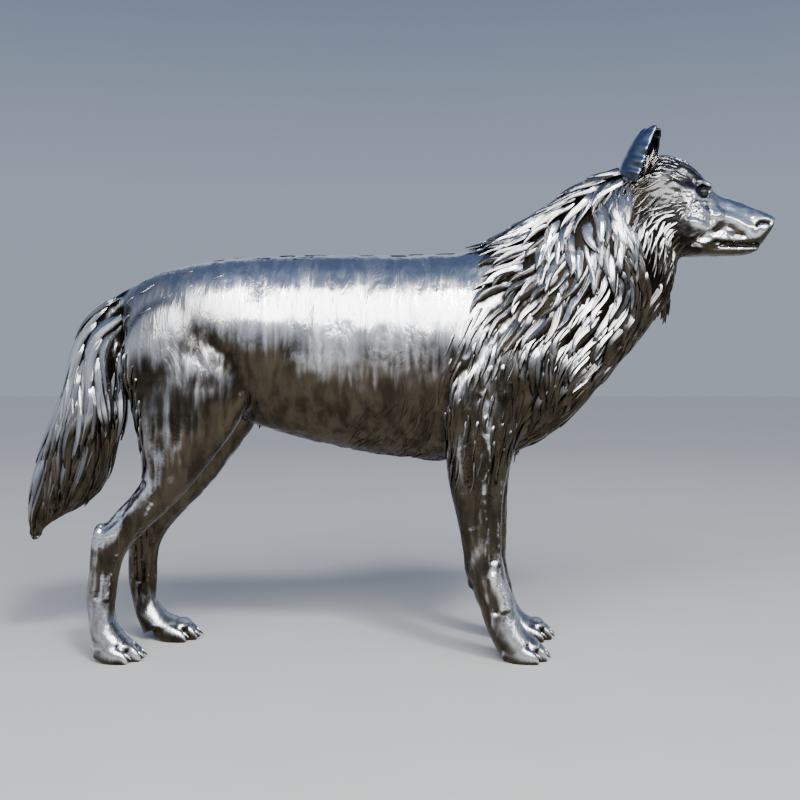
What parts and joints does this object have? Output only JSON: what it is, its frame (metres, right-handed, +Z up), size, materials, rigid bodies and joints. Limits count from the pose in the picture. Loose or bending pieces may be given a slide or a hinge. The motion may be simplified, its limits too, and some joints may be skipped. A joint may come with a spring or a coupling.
{
  "type": "stainless steel wolf sculpture",
  "caption": "Life-size standing wolf welded from polished stainless steel, with locks of fur in the mane, chest and hanging tail.",
  "frame": {"origin": "on the ground under the middle of the wolf's bounding box, level with the flat soles", "axes": "+X towards the nose, +Y towards the wolf's left side, +Z up"},
  "size_m": [1.6416, 0.3067, 1.1589],
  "materials": {
    "polished_stainless": "hand-polished stainless steel with brush strokes and weld marks",
    "dark_eye": "glossy near-black"
  },
  "bodies": {
    "root": {"wolf": "polished_stainless", "eye_right": "dark_eye", "eye_left": "dark_eye"}
  },
  "joints": []
}
